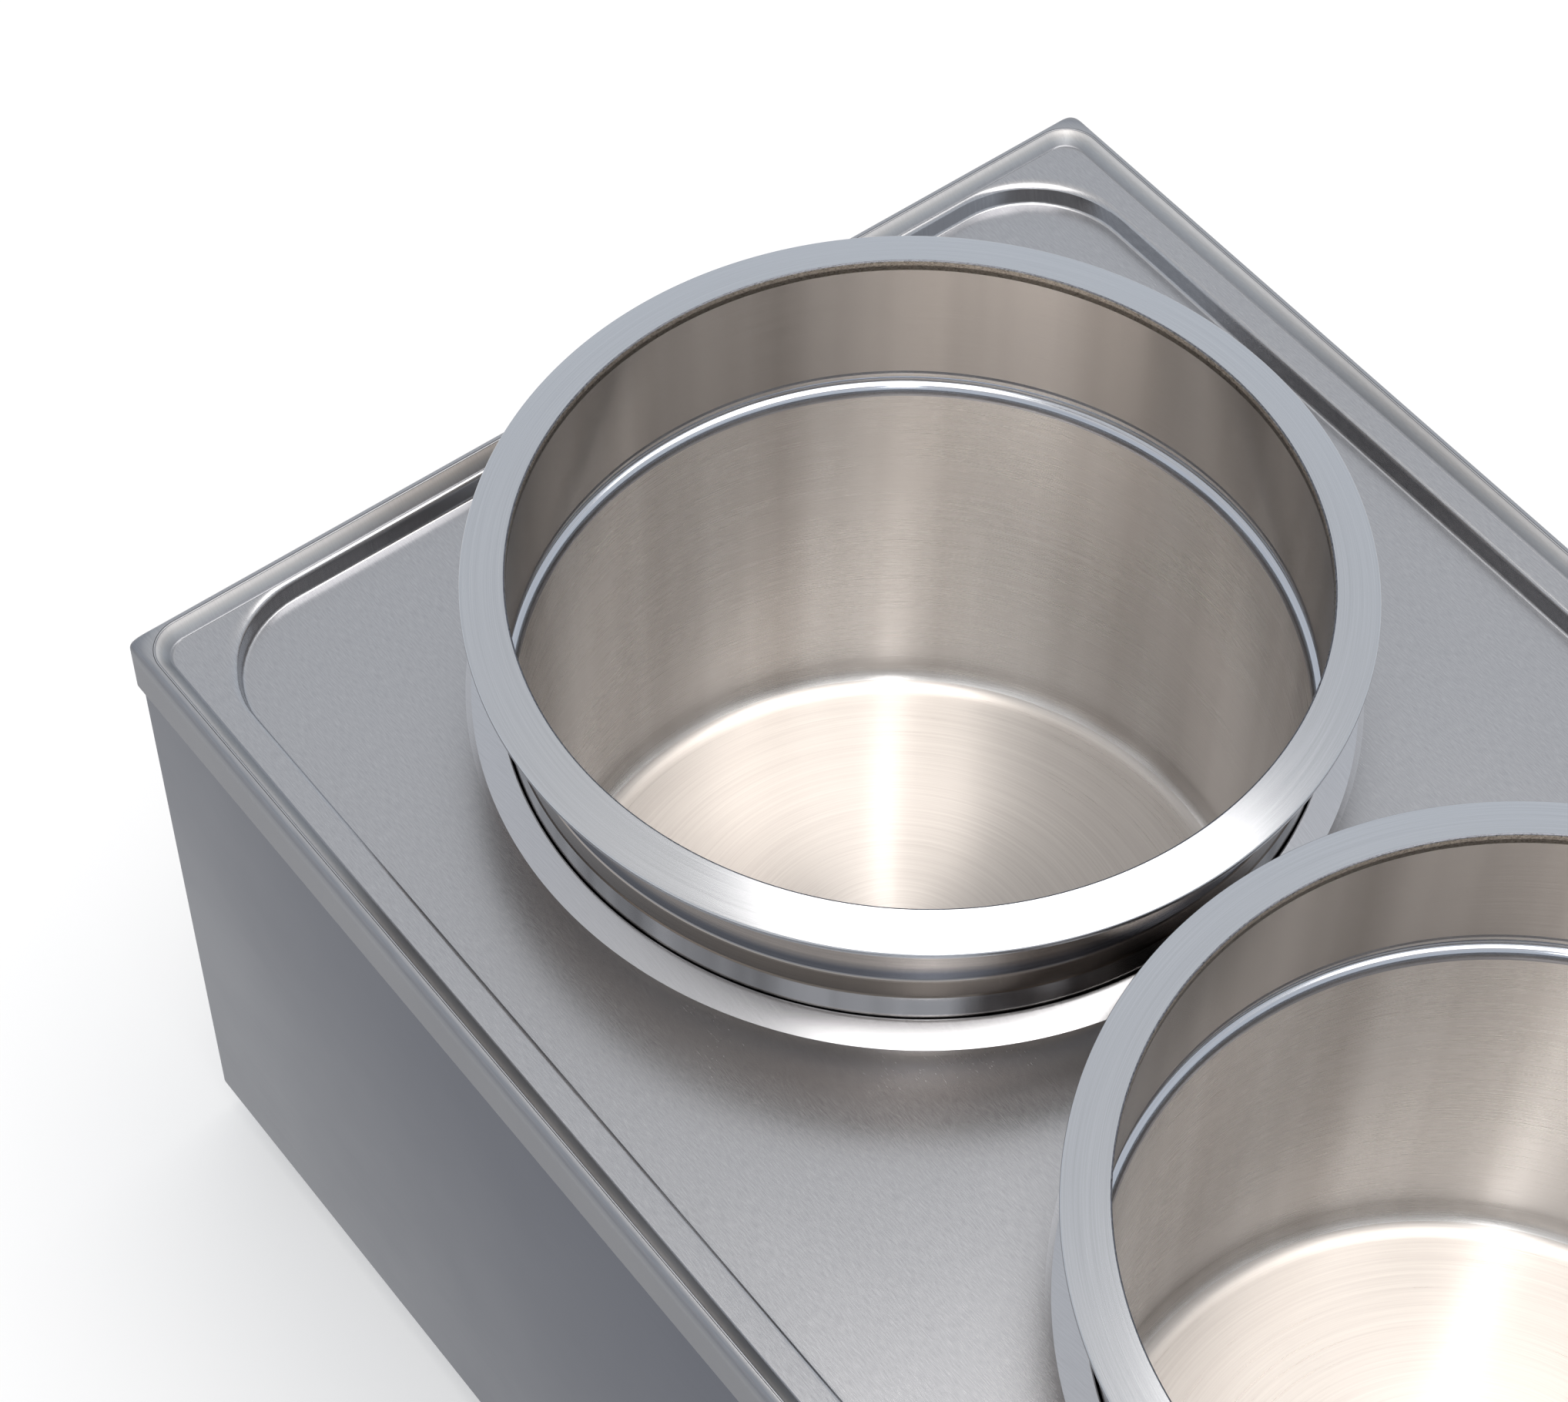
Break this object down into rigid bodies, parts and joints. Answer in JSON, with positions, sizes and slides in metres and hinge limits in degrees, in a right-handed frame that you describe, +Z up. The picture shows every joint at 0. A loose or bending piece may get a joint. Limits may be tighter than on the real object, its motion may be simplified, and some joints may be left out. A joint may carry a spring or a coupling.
{
  "type": "bain marie",
  "caption": "Countertop electric bain marie: round lift-out pots in a row over a heated water bath in a stainless casing, with drain tap and thermostat.",
  "frame": {"origin": "middle of the bounding box, on the surface that the feet stand on", "axes": "+Z up; -Y towards the front panel with the tap and controls; +X to the right of someone who faces the front panel"},
  "size_m": [0.3312, 0.5764, 0.2764],
  "materials": {
    "deck_sheet": "brushed along the length",
    "tank_sheet": "mill finish",
    "casing_sheet": "fine satin",
    "base_sheet": "mill finish",
    "pot_steel": "turned satin",
    "drain_steel": "satin",
    "foot_rubber": "matte",
    "silicone": "matte",
    "zinc_fastener": "zinc plated",
    "element_sheath": "heat-darkened",
    "brass": "machined",
    "copper": "drawn copper",
    "thermostat_plastic": "moulded",
    "cutout_plastic": "moulded",
    "terminal_plastic": "moulded",
    "knob_plastic": "moulded",
    "rocker_plastic": "gloss",
    "lens_green": "translucent",
    "lens_amber": "translucent",
    "lamp_chrome": "plated",
    "tap_nickel": "nickel plated",
    "seal_white": "smooth",
    "grip_vinyl": "dipped"
  },
  "bodies": {
    "cabinet": {"top_deck": "deck_sheet", "water_tank": "tank_sheet", "casing_left": "casing_sheet", "casing_right": "casing_sheet", "casing_rear": "casing_sheet", "front_panel": "casing_sheet", "base_plate": "base_sheet", "foot_front_left": "foot_rubber", "foot_front_right": "foot_rubber", "foot_rear_left": "foot_rubber", "foot_rear_right": "foot_rubber", "foot_screws": "zinc_fastener", "foot_nuts": "zinc_fastener", "base_screws": "zinc_fastener", "heating_element": "element_sheath", "element_bushes": "brass", "element_gaskets": "silicone", "element_nuts": "brass", "element_clips": "zinc_fastener", "thermostat_body": "thermostat_plastic", "thermostat_bulb": "copper", "bulb_clips": "zinc_fastener", "thermostat_screws": "zinc_fastener", "switch_housing": "knob_plastic", "lamp_body_power": "lamp_chrome", "lamp_lens_power": "lens_green", "lamp_body_heat": "lamp_chrome", "lamp_lens_heat": "lens_amber", "lamp_nuts": "zinc_fastener", "overheat_cutout": "cutout_plastic", "terminal_block": "terminal_plastic", "terminal_screws": "brass", "earth_stud": "brass", "earth_nuts": "brass", "cable_gland": "knob_plastic", "gland_nut": "knob_plastic", "drain_elbow": "drain_steel", "drain_gasket": "silicone", "drain_nut": "drain_steel", "tap_body": "tap_nickel", "tap_seats": "seal_white"},
    "knob": {"thermostat_spindle": "zinc_fastener", "control_knob": "knob_plastic"},
    "rocker": {"switch_rocker": "rocker_plastic"},
    "tap_handle": {"tap_ball": "lamp_chrome", "tap_stem": "zinc_fastener", "tap_lever": "zinc_fastener", "tap_grip": "grip_vinyl", "tap_nut": "zinc_fastener"},
    "front_pot": {"pot_front": "pot_steel"},
    "rear_pot": {"pot_rear": "pot_steel"}
  },
  "joints": [
    {"name": "front_pot_lift", "type": "slide", "parent": "cabinet", "child": "front_pot", "axis": [0, 0, 1], "range_m": [0, 0.2]},
    {"name": "rear_pot_lift", "type": "slide", "parent": "cabinet", "child": "rear_pot", "axis": [0, 0, 1], "range_m": [0, 0.2]},
    {"name": "knob_turn", "type": "hinge", "parent": "cabinet", "child": "knob", "pos_m": [0.1, -0.24425, 0.0395], "axis": [0, -1, 0], "range_deg": [-270, 0]},
    {"name": "rocker_tilt", "type": "hinge", "parent": "cabinet", "child": "rocker", "pos_m": [-0.11, -0.23125, 0.0395], "axis": [-1, 0, 0], "range_deg": [0, 18]},
    {"name": "tap_turn", "type": "hinge", "parent": "cabinet", "child": "tap_handle", "pos_m": [0, -0.26025, 0.0395], "axis": [0, 0, -1], "range_deg": [0, 90]}
  ]
}
